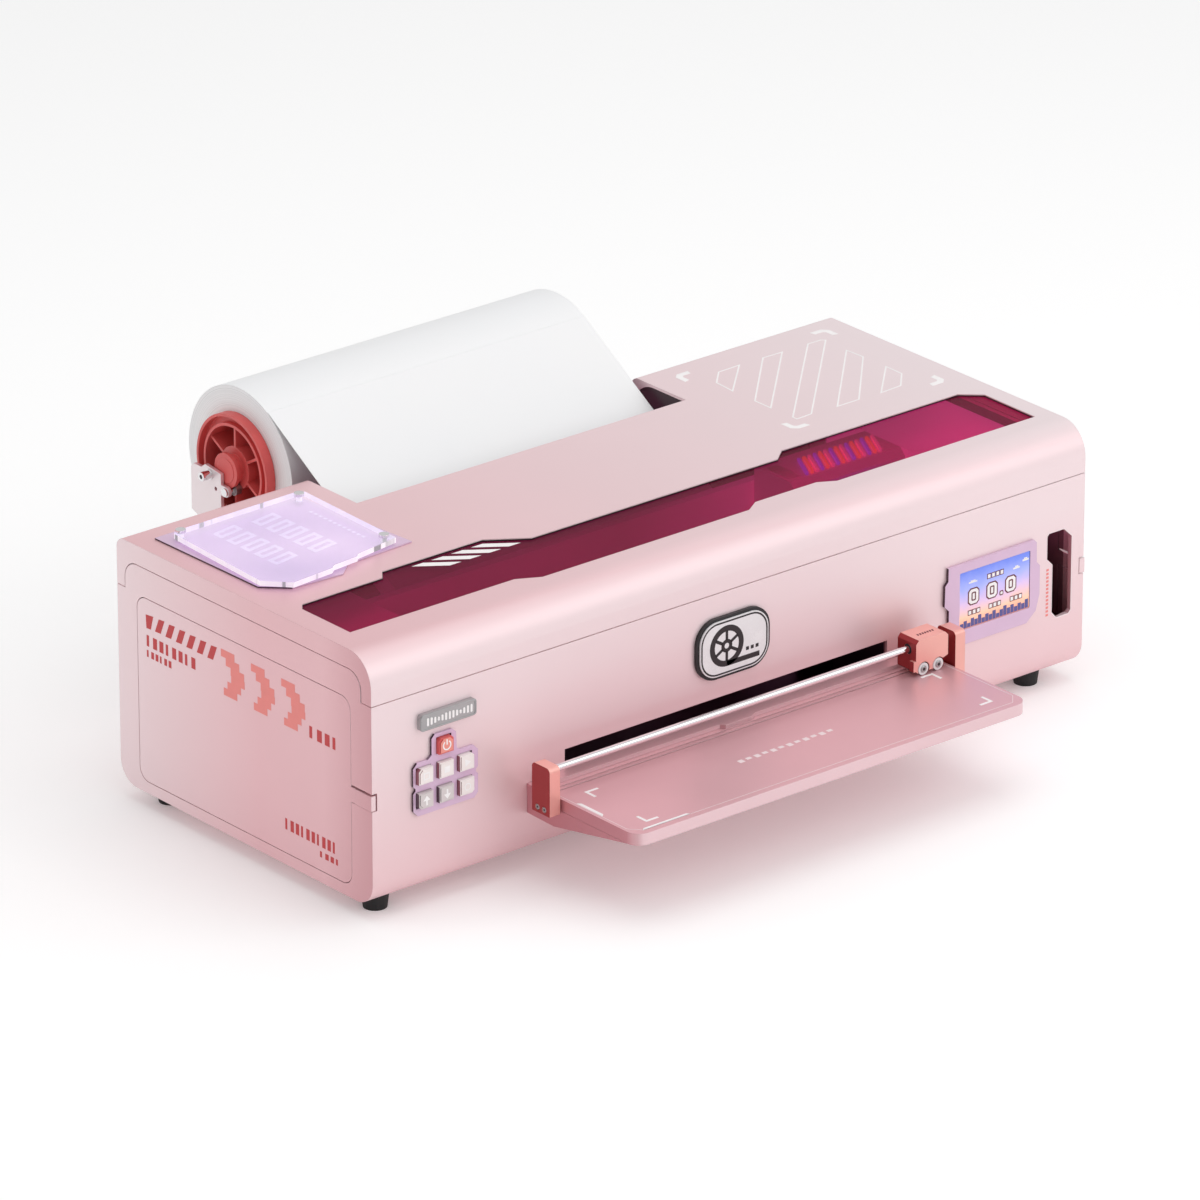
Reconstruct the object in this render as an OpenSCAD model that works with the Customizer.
// Desktop roll-fed film printer with a hand-slid cross cutter.
// X runs left to right along the body, Y from front to rear, Z up from the floor.
// The layout is measured from the body's front left corner on the floor; in_frame()
// moves it so that the whole object's bounding box is centred on X = 0, Y = 0.

/* [Body] */
// length of the body along X
body_l = 740; // [600:5:900]
// depth of the body along Y
body_d = 320; // [280:5:360]
// height of the closed lid above the floor
body_top = 224; // [200:1:260]
// height of the seam between the housing and the lid
seam_z = 184; // [150:1:200]
// thickness of the housing and lid walls
wall = 4; // [3:0.5:6]
// radius of the lid's long front top edge
front_top_r = 27; // [10:1:30]
// radius of the lid's long rear top edge
rear_top_r = 9; // [5:1:15]
// radius of the housing's long lower edges
bottom_r = 20; // [10:1:25]
// gap left at every seam
seam_gap = 0.6; // [0.3:0.1:1]
// height of the rubber feet
foot_h = 14; // [8:1:20]

/* [Film roll] */
// width of the film
film_w = 330; // [300:1:420]
// outside radius of a full roll
roll_r = 67.6; // [45:0.1:75]
// distance of the roll's axis behind the body's front face
roll_y = 409; // [400:1:430]
// height of the roll's axis above the floor
roll_z = 204.4; // [195:0.1:215]
// outside radius of the cardboard core
core_r = 41; // [38:0.5:45]
// radius of the spoked end flanges
flange_r = 46; // [44:0.5:55]
// radius of the groove that turns on the support rollers
groove_r = 12; // [10:0.5:15]
// radius of the support rollers
roller_r = 4.8; // [4:0.1:6]

/* [Cutter] */
// height of the cutting board's top face
board_z = 77.1; // [60:0.1:90]
// reach of the cutting board in front of the body
board_reach = 133.4; // [100:0.1:160]
// left edge of the cutting board
board_x0 = 154.1; // [140:0.1:170]
// right edge of the cutting board
board_x1 = 560.6; // [540:0.1:580]
// radius of the chrome rail
rail_r = 3; // [2.5:0.1:5]
// distance of the rail in front of the body
rail_y = -31.5; // [-40:0.5:-25]
// height of the rail
rail_z = 99; // [90:0.5:110]
// rolling radius of the carriage wheels
wheel_r = 5.2; // [4:0.1:7]

/* [Front panel] */
// side of one key
key_w = 14.2; // [12:0.1:18]
// height of one key
key_h = 13.2; // [12:0.1:18]
// spacing of the keys
key_pitch = 20.4; // [18:0.1:24]

/* [Part to draw] */
// node to draw, or all

/* [Hidden] */
$fn = 64;
tab_proud = 1.6;
left_proud = 0.4;
media_x = 358;
mid_y = (roll_y + roll_r - board_reach) / 2;
mid_x = (body_l + tab_proud - left_proud) / 2;
roll_x0 = media_x - film_w / 2;
roll_x1 = media_x + film_w / 2;
shell_top = seam_z - seam_gap;
door_z0 = 24.3;
door_z1 = 182.1;
door_y0 = 25.9;
door_y1 = 294.6;
door_pivot_y = 283;
hinge_y = 323.7;
pane_z = 219;
pane_t = 3.1;
platen_z = 139.5;
film_t = 0.4;
film_z = platen_z + 0.3;
web_slope = 31.9;
web_y = 285;
web_z = 207;
plate_x0 = 174;
plate_t = 3;
front_roller = [404.5, 188];
rear_roller = [424.7, 197.4];

pink = [0.89, 0.72, 0.73];
coral = [0.93, 0.45, 0.42];
lilac = [0.80, 0.71, 0.89, 0.8];
chrome = [0.82, 0.82, 0.84];
black = [0.06, 0.06, 0.07];
maroon = [0.35, 0.08, 0.16];

module in_frame() translate([-mid_x, -mid_y, 0]) children();

// extrudes a Y-Z drawing from X = x0 to X = x1
module along_x(x0, x1)
  translate([x0, 0, 0]) rotate([90, 0, 90]) linear_extrude(x1 - x0) children();

// extrudes an X-Z drawing from Y = y0 to Y = y1
module along_y(y0, y1)
  translate([0, y1, 0]) rotate([90, 0, 0]) linear_extrude(y1 - y0) children();

// extrudes an X-Y drawing from Z = z0 to Z = z1
module along_z(z0, z1)
  translate([0, 0, z0]) linear_extrude(z1 - z0) children();

module rod_x(x0, x1, y, z, r) along_x(x0, x1) translate([y, z]) circle(r);

module rod_z(z0, z1, x, y, r) along_z(z0, z1) translate([x, y]) circle(r);

module rod_y(y0, y1, x, z, r) along_y(y0, y1) translate([x, z]) circle(r);

// takes one rounded corner off a drawing: su, sv point from the corner into it
module corner_cut(u, v, r, su, sv)
  if (r > 0)
    translate([u + su * r, v + sv * r])
      difference() {
        translate([su > 0 ? -r - 1 : 0, sv > 0 ? -r - 1 : 0]) square(r + 1);
        circle(r);
      }

// rectangle with four corner radii: low-low, high-low, high-high, low-high
module rounded(u0, u1, v0, v1, r)
  difference() {
    translate([u0, v0]) square([u1 - u0, v1 - v0]);
    corner_cut(u0, v0, r[0], 1, 1);
    corner_cut(u1, v0, r[1], -1, 1);
    corner_cut(u1, v1, r[2], -1, -1);
    corner_cut(u0, v1, r[3], 1, -1);
  }

// ---------------------------------------------------------------- housing

// raised part of each end wall, inside the lid's skirt
module end_tab() rounded(13.2, 309.6, 150, 207.1, [0, 0, 14.6, 14.6]);

module waste_outline()
  polygon([[700, 118], [700, 138], [702, 140], [718, 140], [726.5, 132],
           [726.5, 67], [724, 64.4], [711, 64.4], [706, 70], [706, 112]]);

function key_x(column) = 69.5 + (column - 1) * key_pitch;
function key_z(row) = row == 0 ? 135 : row == 1 ? 114.6 : 94;
keys = [[1, 0], [0, 1], [1, 1], [2, 1], [0, 2], [1, 2], [2, 2]];

module key_holes(y0, y1, room)
  for (k = keys)
    along_y(y0, y1)
      translate([key_x(k[0]), key_z(k[1])])
        square([key_w + 2 * room, key_h + 2 * room], center = true);

module door_opening(x0, x1) {
  along_x(x0, x1) rounded(25.5, 295.2, 23.7, 182.7, [11.4, 11.4, 11.4, 11.4]);
  along_x(x0, x1) translate([-1, 95.6]) square([27.5, 14.9]);
}

module lower_housing() color(pink) in_frame() {
  difference() {
    union() {
      along_x(0, body_l)
        rounded(0, body_d, foot_h, shell_top, [bottom_r, bottom_r, 0, 0]);
      for (x = [0, body_l - wall]) along_x(x, x + wall) end_tab();
    }
    along_x(wall, body_l - wall)
      rounded(wall, body_d - wall, foot_h + wall, seam_z + 60,
              [bottom_r - wall, bottom_r - wall, 0, 0]);
    // film exit slot
    translate([192.6, -1, 82]) cube([335.3, wall + 2, 12.3]);
    along_y(-1, wall + 1) waste_outline();
    key_holes(-1, wall + 1, 0.4);
    door_opening(-1, wall + 1);
    door_opening(body_l - wall - 1, body_l + 1);
    // power inlet cut-out
    translate([640.5, body_d - wall - 1, 38.5]) cube([29, wall + 2, 23]);
    // pivot holes of the two doors, above and below each opening
    for (x = [2, body_l - 2]) {
      rod_z(door_z1 - 1, seam_z + 1, x, door_pivot_y, 1.0);
      rod_z(17, door_z0 + 1, x, door_pivot_y, 1.0);
    }
  }
}

module door_plate(x0, x1) {
  difference() {
    union() {
      along_x(x0, x1) rounded(door_y0, door_y1, door_z0, door_z1, [11, 11, 11, 11]);
      along_x(x0, x1) translate([0.4, 96]) square([26, 12.6]);
    }
    rod_z(door_z1 - 7, door_z1 + 1, (x0 + x1) / 2, door_pivot_y, 1.06);
    rod_z(door_z0 - 1, door_z0 + 7, (x0 + x1) / 2, door_pivot_y, 1.06);
  }
}

module service_door_left() color(pink) in_frame() {
  door_plate(0, wall);
  // the left finger tab stands only just proud
  translate([-left_proud, 0.4, 96]) cube([left_proud, 20, 12.6]);
}

module service_door_right() color(pink) in_frame() {
  door_plate(body_l - wall, body_l);
  // the right finger tab stands a little proud
  translate([body_l, 0.4, 96]) cube([tab_proud, 20, 12.6]);
}

module door_pins() color(chrome) in_frame()
  for (x = [2, body_l - 2]) {
    rod_z(door_z1 - 6, door_z1 + 1, x, door_pivot_y, 1.0);
    rod_z(door_z0 - 1, door_z0 + 6, x, door_pivot_y, 1.0);
  }

module rubber_feet() color(black) in_frame()
  for (x = [24, body_l - 36.2], y = [27.6, 287.2])
    translate([x, y, 0]) cylinder(h = foot_h, r1 = 9.7, r2 = 11.6);

// ---------------------------------------------------------------- lid

module window_outline()
  polygon([[21, 51.5], [184.5, 51.5], [204.5, 41], [416.5, 41], [431, 50.3], [495, 50.3],
           [510, 42], [722.3, 42], [723, 104], [706.5, 118.8], [518, 119], [503.5, 107.2],
           [248, 107.8], [215.8, 130], [115.5, 130], [107.8, 120], [27.3, 118.8], [21, 110.9]]);

module lid_shell() color(pink) in_frame() {
  difference() {
    along_x(0, body_l)
      rounded(0, body_d, seam_z, body_top, [0, 0, rear_top_r, front_top_r]);
    along_x(wall, body_l - wall)
      rounded(wall, body_d - wall, seam_z - 1, body_top - wall,
              [0, 0, rear_top_r - wall, front_top_r - wall]);
    for (x = [-1, body_l - wall - 1])
      along_x(x, x + wall + 2) rounded(12, 310.2, seam_z - 1, 207.7, [0, 0, 15, 15]);
    along_z(body_top - wall - 1, body_top + 1) window_outline();
    // rebate that holds the pane close under the top face
    translate([11.6, 33.6, pane_z - 0.1]) cube([719.8, 102.8, pane_t + 0.2]);
    // film notch, open to the rear
    translate([187, 251, seam_z - 1]) cube([342, 80, 60]);
  }
  // walls of the film notch
  for (x = [183.2, 529]) translate([x, 247, seam_z + 2]) cube([3.8, 69.2, 34.2]);
  translate([183.2, 247, 206]) cube([349.6, 4, 14.2]);
}

module lid_window() color([0.45, 0.05, 0.18, 0.6]) in_frame()
  translate([12, 34, pane_z]) cube([719, 102, pane_t]);

// butt hinges outside the rear wall: fixed leaves, knuckles and pins
module hinge_base() color(chrome) in_frame()
  for (x = [70, 610]) {
    difference() {
      union() {
        for (dx = [0, 40]) rod_x(x + dx, x + dx + 20, hinge_y, seam_z, 3.3);
        translate([x, body_d + 0.2, 160]) cube([60, 1.8, 20]);
        for (dx = [0, 40]) translate([x + dx, body_d + 0.2, 178]) cube([20, 3.4, 6]);
      }
      translate([x + 20, body_d - 1, 180.2]) cube([20, 10, 10]);
      rod_x(x - 1, x + 61, hinge_y, seam_z, 1.5);
    }
    rod_x(x, x + 60, hinge_y, seam_z, 1.5);
  }

module hinge_lid() color(chrome) in_frame()
  for (x = [70, 610])
    difference() {
      union() {
        rod_x(x + 20.4, x + 39.6, hinge_y, seam_z, 3.3);
        translate([x, body_d + 0.2, 189]) cube([60, 1.8, 18]);
        translate([x + 20.4, body_d + 0.2, 184]) cube([19.2, 3.4, 6]);
      }
      rod_x(x - 1, x + 61, hinge_y, seam_z, 1.56);
    }

// ---------------------------------------------------------------- name plate on the lid

module nameplate_base() color(lilac) in_frame()
  along_z(body_top + 0.1, body_top + 1.3)
    polygon([[18.5, 294.5], [157.5, 297.5], [169.5, 160], [103.3, 156.8], [87.3, 143.4],
             [40, 147], [20.3, 165.5]]);

module nameplate_cover() color([0.93, 0.88, 0.97, 0.5]) in_frame()
  difference() {
    along_z(227.6, 232)
      polygon([[25.5, 278.6], [29.5, 282.5], [153, 285], [158.3, 281], [154.6, 161.3],
               [111.3, 154.4], [107.6, 150.8], [82.6, 148.6], [78, 144.9], [37.2, 141.5],
               [19.1, 161.5]]);
    for (p = standoffs) rod_z(227, 233, p[0], p[1], 2.3);
  }
standoffs = [[149.7, 277.7], [31.9, 278.4], [148.6, 168.7]];

module nameplate_standoffs() color(chrome) in_frame()
  for (p = standoffs) {
    rod_z(body_top + 1.5, 232.3, p[0], p[1], 2);
    rod_z(body_top + 1.5, 227.3, p[0], p[1], 3.4);
    rod_z(232.2, 234.4, p[0], p[1], 4.2);
  }

// ---------------------------------------------------------------- front panel

module keypad_bezel() color(lilac) in_frame()
  difference() {
    along_y(-2.2, -0.1)
      polygon([[60.5, 145.2], [77.8, 145.2], [81.8, 141.8], [82.4, 128], [85.5, 125.4],
               [99, 125.4], [103.4, 121], [103.4, 106.5], [101.4, 104.4], [101.4, 102.4],
               [103.4, 100.3], [103.4, 84.6], [99.5, 80.7], [43.5, 80.7], [39, 85.5],
               [39, 100.3], [41.2, 102.4], [41.2, 104.4], [39, 106.5], [39, 121.4],
               [43, 125.4], [53.5, 125.4], [57.4, 128.4], [57.4, 142]]);
    key_holes(-3, 1, 0.4);
  }

// key face with its stem: cut names the chamfered corners
module key(column, row, cut) {
  x = key_x(column);
  z = key_z(row);
  c = 3.2;
  difference() {
    along_y(-5.6, 3) translate([x, z]) square([key_w, key_h], center = true);
    for (s = cut)
      along_y(-6, 4)
        polygon([[x + s[0] * (key_w / 2 + 1), z + s[1] * (key_h / 2 + 1)],
                 [x + s[0] * (key_w / 2 + 1), z + s[1] * (key_h / 2 - c)],
                 [x + s[0] * (key_w / 2 - c), z + s[1] * (key_h / 2 + 1)]]);
  }
  translate([x - 4, 2.9, z - 4]) cube([8, 5, 8]);
}

module key_power() color(coral) in_frame() key(1, 0, [[1, 1], [-1, 1]]);
module key_upper_left() color(pink) in_frame() key(0, 1, [[-1, 1]]);
module key_upper_middle() color(pink) in_frame() key(1, 1, []);
module key_upper_right() color(pink) in_frame() key(2, 1, [[1, 1]]);
module key_lower_left() color([0.5, 0.5, 0.53]) in_frame() key(0, 2, [[-1, -1]]);
module key_lower_middle() color([0.5, 0.5, 0.53]) in_frame() key(1, 2, []);
module key_lower_right() color(pink) in_frame() key(2, 2, [[1, -1]]);

module name_strip() color(chrome) in_frame()
  along_y(-4.2, -0.1) rounded(45, 100.7, 151.5, 165.5, [3, 3, 3, 3]);

module badge_base() color(black) in_frame()
  along_y(-3, -0.1) rounded(325, 401, 112, 164, [20, 20, 20, 20]);

module badge_face() color([0.95, 0.95, 0.95]) in_frame()
  along_y(-4.4, -3.1) rounded(327.6, 398.4, 114.6, 161.4, [17.5, 17.5, 17.5, 17.5]);

module display_bezel() color(lilac) in_frame()
  along_y(-2.7, -0.1)
    difference() {
      polygon([[590.7, 140], [590.5, 128.8], [587.3, 125.6], [586.9, 107.5], [591.5, 103],
               [591.5, 94.5], [592, 76], [598, 69.5], [676, 69.5], [686, 78], [689.8, 91.6],
               [689.8, 116.7], [686.3, 120.4], [685.9, 137.8], [683.5, 140.4]]);
      rounded(603, 679, 82.5, 132.5, [1, 1, 1, 1]);
    }

module display_screen() color([0.55, 0.6, 0.9]) in_frame()
  along_y(-2.3, -0.1) rounded(603.3, 678.7, 82.8, 132.2, [0.8, 0.8, 0.8, 0.8]);

// ---------------------------------------------------------------- cutting board and rail

module cutting_board() color(pink) in_frame()
  along_z(board_z - 10, board_z)
    rounded(board_x0, board_x1, -board_reach, -28.9, [12, 12, 0, 0]);

// two wedge-shaped side gussets, a wall against the body and the bed under the rail,
// with a groove for the blade and a narrow strip between the groove and the board
module board_bracket() color(pink) in_frame() {
  for (x = [board_x0, board_x1 - 4])
    along_x(x, x + 4)
      polygon([[-0.2, 51.6], [-33, 50.8], [-121, 66.9], [-28.8, 66.9], [-28.8, 76.4],
               [-0.2, 76.4]]);
  translate([board_x0 + 3.9, -3.2, 51.6]) cube([board_x1 - board_x0 - 7.8, 3, 21]);
  translate([board_x0 + 3.9, -28.8, 71.4]) cube([board_x1 - board_x0 - 7.8, 28.6, 3]);
  translate([board_x0 + 3.9, -21.2, 74.3]) cube([board_x1 - board_x0 - 7.8, 20.9, 2.2]);
  translate([board_x0 + 3.9, -27.4, 74.3]) cube([board_x1 - board_x0 - 7.8, 4, 2.7]);
}

module film_guide() color(pink) in_frame()
  along_z(76.6, 80)
    polygon([[164, -0.2], [164, -16.5], [338, -16.5], [341, -20], [368, -20], [374, -16.5],
             [550, -16.5], [550, -0.2]]);

module rail_block(x0, x1, spacer_x)
  difference() {
    union() {
      along_x(x0, x1) rounded(-43.2, -21.4, 65, 106, [0.8, 0.8, 4, 4]);
      translate([spacer_x, -39, 67.2]) cube([1.7, 14, 7]);
    }
    rod_x(x0 + 1.5, x1 - 1.5, rail_y, rail_z, rail_r + 0.05);
    rod_x(x0 < media_x ? x0 + 2 : x0 - 1, x0 < media_x ? x1 + 1 : x1 - 2,
          rail_y, rail_z, rail_r + 0.05);
    for (y = [-36.2, -28]) rod_x(x0 - 2, x1 + 2, y, 69.5, 1.5);
    for (y = [-36.2, -28])
      rod_x(x0 < media_x ? x0 - 1 : x1 - 1.6, x0 < media_x ? x0 + 1.6 : x1 + 1, y, 69.5, 2.6);
  }

module rail_block_left() color(coral) in_frame() rail_block(141.7, 152.1, 152.0);
module rail_block_right() color(coral) in_frame() rail_block(562.6, 573, 561.0);

module rail_screws() color(black) in_frame()
  for (y = [-36.2, -28]) {
    rod_x(142.2, 143.2, y, 69.5, 2.4);
    rod_x(143.1, 153.6, y, 69.5, 1.4);
    rod_x(571.5, 572.5, y, 69.5, 2.4);
    rod_x(561.1, 571.6, y, 69.5, 1.4);
  }

module cutter_rail() color(chrome) in_frame() rod_x(144, 571, rail_y, rail_z, rail_r);

wheel_x = [530.4, 546.1];
wheel_z = board_z + 0.3 + wheel_r;

module cutter_carriage() color(coral) in_frame() {
  difference() {
    union() {
      along_y(-41.5, -19.2)
        polygon([[522.1, 82], [522.1, 105.4], [525, 108.5], [553.2, 108.5], [556.2, 105.5],
                 [556.2, 88.3], [550.6, 86.6], [550.6, 80.2], [523.9, 80.2]]);
      // lug beside the first wheel
      translate([519.6, -41.5, 82]) cube([2.6, 5, 9]);
    }
    rod_x(515, 560, rail_y, rail_z, rail_r + 0.06);
    rod_x(521.5, 524, rail_y, rail_z, 4.4);
    for (x = wheel_x) rod_y(-42, -36.4, x, wheel_z, wheel_r + 0.9);
    for (x = wheel_x) translate([x - 3.2, -42, 78]) cube([6.4, 5.6, 4]);
    // pocket of the round blade
    rod_y(-23.4, -21.2, 538, 82.6, 6.8);
    translate([531.2, -23.4, 79]) cube([13.6, 2.2, 3.6]);
  }
  for (x = wheel_x) rod_y(-41.2, -36.2, x, wheel_z, 1.3);
  rod_y(-23.5, -21.1, 538, 82.6, 1.3);
}

module cutter_wheel(i) along_y(-41.2, -36.8)
  translate([wheel_x[i], wheel_z])
    difference() {
      circle(wheel_r);
      circle(1.36);
    }

module cutter_wheel_left() color([0.95, 0.95, 0.95]) in_frame() cutter_wheel(0);
module cutter_wheel_right() color([0.95, 0.95, 0.95]) in_frame() cutter_wheel(1);

module cutter_blade() color(chrome) in_frame()
  along_y(-22.6, -22)
    translate([538, 82.6])
      difference() {
        circle(6.2);
        circle(1.36);
      }

// ---------------------------------------------------------------- film roll and its stand

module film_roll() color([0.93, 0.93, 0.93]) in_frame()
  along_x(roll_x0, roll_x1)
    translate([roll_y, roll_z])
      difference() {
        circle(roll_r);
        circle(core_r + 0.05);
      }

module film_core() color([0.72, 0.6, 0.45]) in_frame()
  along_x(roll_x0, roll_x1)
    translate([roll_y, roll_z])
      difference() {
        circle(core_r);
        circle(core_r - 3);
      }

// left flange, drawn with its groove towards -X
module flange() {
  ring = core_r - 3.1;
  x0 = roll_x0;
  at_roll() {
    ring_x(x0 - 9, x0 - 0.3, flange_r, flange_r - 2.4);
    ring_x(x0 - 2.6, x0 - 0.3, flange_r - 2.3, ring - 2.3);
    ring_x(x0 - 8, x0 + 28, ring, ring - 2.4);
    ring_x(x0 - 15, x0 - 11.6, 14.7, 6.1);
    ring_x(x0 - 11.7, x0 - 5.4, groove_r, 6.1);
    difference() {
      ring_x(x0 - 5.5, x0 + 28, 18, 6.1);
      translate([x0 + 6, 0, 0]) rotate([0, 0, 150]) rod_x(8, 30, 0, 0, 2.2);
    }
    for (a = [30 : 60 : 330])
      rotate([a, 0, 0]) translate([x0 - 5.4, 17, -1.1]) cube([30, ring - 19, 2.2]);
  }
}

module at_roll() translate([0, roll_y, roll_z]) children();

module ring_x(x0, x1, r, hole)
  along_x(x0, x1)
    difference() {
      circle(r);
      circle(hole);
    }

module flange_left() color(coral) in_frame() flange();

module flange_right() color(coral) in_frame()
  translate([media_x, 0, 0]) mirror([1, 0, 0]) translate([-media_x, 0, 0]) flange();

module roll_shaft() color([0.9, 0.72, 0.75]) in_frame()
  rod_x(roll_x0 - 14.8, roll_x1 + 14.8, roll_y, roll_z, 6);

module roller_ring(p, x)
  along_x(x, x + 5.4)
    translate(p)
      difference() {
        circle(roller_r);
        circle(2.06);
      }

module support_rollers_front() color(chrome) in_frame()
  for (x = [181.8, 528.8]) roller_ring(front_roller, x);

module support_rollers_rear() color(chrome) in_frame()
  for (x = [181.8, 528.8]) roller_ring(rear_roller, x);

module stand_plate()
  difference() {
    union() {
      polygon([[449.5, 197], [446, 200.4], [436, 200.4], [431, 204.2], [420, 203], [410.5, 201.8],
               [410.5, 168], [321, 118], [321, 88], [400, 140], [449.5, 160]]);
      // small ear for the front roller
      translate(front_roller) circle(4.4);
      translate([front_roller[0], front_roller[1] - 4.4]) square([7, 8.8]);
    }
    translate([417.3, 187.1]) circle(1.7);
    for (p = [front_roller, rear_roller]) translate(p) circle(2.05);
  }

// left stand: plate with an ear for each roller and a foot bolted to the rear wall
module stand() {
  along_x(plate_x0, plate_x0 + plate_t) stand_plate();
  difference() {
    translate([plate_x0, body_d + 0.3, 88]) cube([26, 3, 62]);
    for (z = [98, 140]) rod_y(body_d - 1, body_d + 5, plate_x0 + 16, z, 2.2);
  }
}

module roll_stand_left() color(pink) in_frame() stand();

module roll_stand_right() color(pink) in_frame()
  translate([media_x, 0, 0]) mirror([1, 0, 0]) translate([-media_x, 0, 0]) stand();

// roller axles with their heads, and the screws of the stand feet
module stand_bolts() {
  rod_x(plate_x0 - 0.2, plate_x0 + 13.4, rear_roller[0], rear_roller[1], 2);
  rod_x(plate_x0 - 1.2, plate_x0 - 0.1, rear_roller[0], rear_roller[1], 4.4);
  difference() {
    rod_x(plate_x0 - 9.2, plate_x0 - 1.1, rear_roller[0], rear_roller[1], 3.9);
    rod_x(plate_x0 - 10, plate_x0 - 6, rear_roller[0], rear_roller[1], 1.8);
  }
  rod_x(plate_x0 - 1.6, plate_x0 + 13.4, front_roller[0], front_roller[1], 2);
  rod_x(plate_x0 - 1.7, plate_x0 - 0.1, front_roller[0], front_roller[1], 3.6);
  for (z = [98, 140]) {
    rod_y(body_d + 0.4, body_d + 4.4, plate_x0 + 16, z, 2.1);
    rod_y(body_d + 3.4, body_d + 5.6, plate_x0 + 16, z, 4);
  }
}

module roller_axles() color(chrome) in_frame() {
  stand_bolts();
  translate([media_x, 0, 0]) mirror([1, 0, 0]) translate([-media_x, 0, 0]) stand_bolts();
}

// loose web of film: from the roll, down through the notch, then flat over the platen
bend_y = web_y - (web_z - film_z) / tan(web_slope);
away = sqrt(pow(roll_y - web_y, 2) + pow(roll_z - web_z, 2) - pow(roll_r + 0.5, 2));
module film_web() color([0.95, 0.95, 0.95]) in_frame()
  along_x(roll_x0 + 0.3, roll_x1 - 0.3)
    polygon([[62, film_z], [bend_y - 3, film_z], [bend_y + 2.5, film_z + 1.5],
             [web_y + away * cos(web_slope), web_z + away * sin(web_slope)],
             [web_y + away * cos(web_slope) - 0.2, web_z + away * sin(web_slope) + 0.4],
             [bend_y + 2.3, film_z + 1.9], [bend_y - 3, film_z + film_t],
             [62, film_z + film_t]]);

// ---------------------------------------------------------------- inside

// side plates, the beam behind the print carriage, a cover over each end bay
// and the sloped film tray with its two legs
module chassis() color(maroon) in_frame()
  difference() {
    union() {
      for (x = [107, 640]) translate([x, 60, 18.2]) cube([3, 144, 178.8]);
      translate([109.9, 152, 152]) cube([530.2, 8, 36]);
      translate([5, 60, 194]) cube([102.1, 105, 3]);
      translate([642.9, 60, 194]) cube([92.1, 105, 3]);
      translate([109.9, 196, 130]) cube([530.2, 5, 8]);
      along_x(189.5, 526.5)
        polygon([[196, 140], [312, 212.2], [312, 208.8], [200, 138], [200, 132], [196, 132]]);
      for (x = [189.5, 523.5])
        along_x(x, x + 3)
          polygon([[288, 18.2], [300, 18.2], [300, 202], [288, 194]]);
    }
    rod_x(100, 650, 112, 168, 5.05);
    rod_x(100, 650, feed_y, feed_z, 3.05);
    rod_x(100, 650, feed_y, pinch_z, 3.05);
  }
feed_y = bend_y - 4.5;
feed_z = film_z - 0.3 - 10;
pinch_z = film_z + film_t + 0.3 + 10;

// platen with a lug at each end that carries it on the side plates
module platen() color([0.25, 0.07, 0.12]) in_frame() {
  translate([170, 34, 130]) cube([366, 126, platen_z - 130]);
  for (x = [110.2, 535.9]) translate([x, 70, 130]) cube([x < 300 ? 60 : 104, 14, 6]);
}

module feed_roller() color([0.2, 0.2, 0.22]) in_frame() {
  rod_x(196, 520, feed_y, feed_z, 10);
  rod_x(107.5, 642.5, feed_y, feed_z, 3);
}

module pinch_rollers() color([0.15, 0.15, 0.17]) in_frame() {
  for (x = [210, 325, 440]) rod_x(x, x + 66, feed_y, pinch_z, 10);
  rod_x(107.5, 642.5, feed_y, pinch_z, 3);
}

module guide_shaft() color(chrome) in_frame() rod_x(107.2, 642.8, 112, 168, 5);

module print_carriage() color([0.55, 0.2, 0.32]) in_frame()
  difference() {
    union() {
      along_x(514, 632)
        polygon([[66, 150], [148, 150], [148, 202], [104, 202], [98, 196], [98, 182], [66, 182]]);
      translate([540, 76, 143.5]) cube([74, 60, 6.6]);
    }
    rod_x(500, 640, 112, 168, 5.06);
  }

module ink_dampers() color([0.6, 0.25, 0.8]) in_frame()
  for (i = [0 : 4]) rod_y(64, 97.6, 552 + 13 * i, 187.2, 5);

// block on the floor with a soft pad under the parked print head
module capping_station() color([0.2, 0.2, 0.22]) in_frame() {
  translate([548, 88, 18.2]) cube([70, 46, 112]);
  translate([544, 86, 130.1]) cube([66, 46, 12.6]);
}

module waste_bottle() color([0.75, 0.1, 0.16, 0.6]) in_frame() {
  translate([690, 20.5, 18.2]) cube([32, 40, 86]);
  rod_z(104, 118, 708, 34, 9);
}

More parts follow.
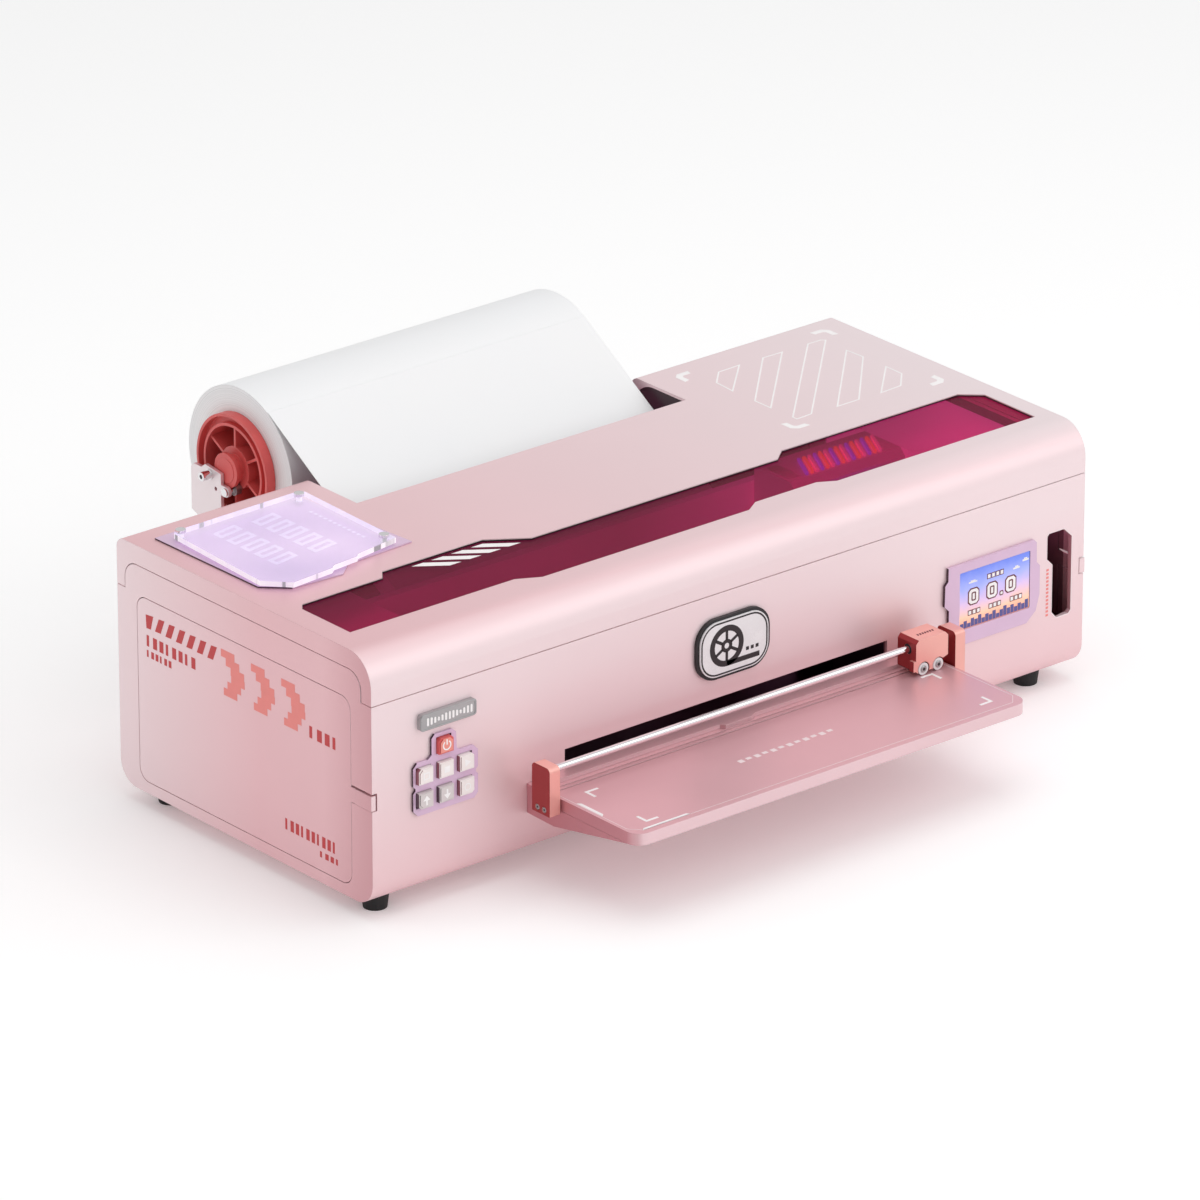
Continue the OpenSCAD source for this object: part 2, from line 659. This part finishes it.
// circuit board standing on four posts beside the left side plate, parts facing the door
module main_board() color([0.10, 0.35, 0.28]) in_frame() {
  board_x = 97;
  translate([board_x, 70, 40]) cube([1.6, 122, 134]);
  for (y = [76, 186], z = [46, 168]) rod_x(board_x + 1.5, 106.8, y, z, 3);
  // processor with its heat sink
  translate([board_x - 3, 112, 104]) cube([3.1, 34, 34]);
  for (i = [0 : 5]) translate([board_x - 14, 113 + 6 * i, 105]) cube([11.1, 2, 32]);
  // row of tall capacitors
  for (i = [0 : 3]) rod_x(board_x - 16, board_x + 0.1, 88 + 16 * i, 156, 5);
  // motor drivers
  for (i = [0 : 3]) translate([board_x - 6, 82 + 26 * i, 76]) cube([6.1, 14, 14]);
  // plug connectors along the lower edge
  for (i = [0 : 4]) translate([board_x - 10, 76 + 22 * i, 44]) cube([10.1, 16, 9]);
}

module power_supply() color([0.7, 0.7, 0.72]) in_frame()
  translate([560, 206, 18.2]) cube([130, 90, 44]);

module power_inlet() color(black) in_frame() {
  difference() {
    union() {
      translate([640.8, body_d - 12, 38.8]) cube([28.4, 12.2, 22.4]);
      translate([637, body_d + 0.1, 35]) cube([36, 2.4, 30]);
    }
    translate([643.5, body_d - 9, 41.5]) cube([23, 20, 17]);
  }
  for (p = [[648.5, 47.5], [655, 53], [661.5, 47.5]])
    translate([p[0] - 0.8, body_d - 9.5, p[1] - 2]) cube([1.6, 9, 4]);
}

lower_housing();
service_door_left();
service_door_right();
door_pins();
rubber_feet();
lid_shell();
lid_window();
hinge_base();
hinge_lid();
nameplate_base();
nameplate_cover();
nameplate_standoffs();
keypad_bezel();
key_power();
key_upper_left();
key_upper_middle();
key_upper_right();
key_lower_left();
key_lower_middle();
key_lower_right();
name_strip();
badge_base();
badge_face();
display_bezel();
display_screen();
cutting_board();
board_bracket();
film_guide();
rail_block_left();
rail_block_right();
rail_screws();
cutter_rail();
cutter_carriage();
cutter_wheel_left();
cutter_wheel_right();
cutter_blade();
film_roll();
film_core();
flange_left();
flange_right();
roll_shaft();
support_rollers_front();
support_rollers_rear();
roll_stand_left();
roll_stand_right();
roller_axles();
film_web();
chassis();
platen();
feed_roller();
pinch_rollers();
guide_shaft();
print_carriage();
ink_dampers();
capping_station();
waste_bottle();
main_board();
power_supply();
power_inlet();
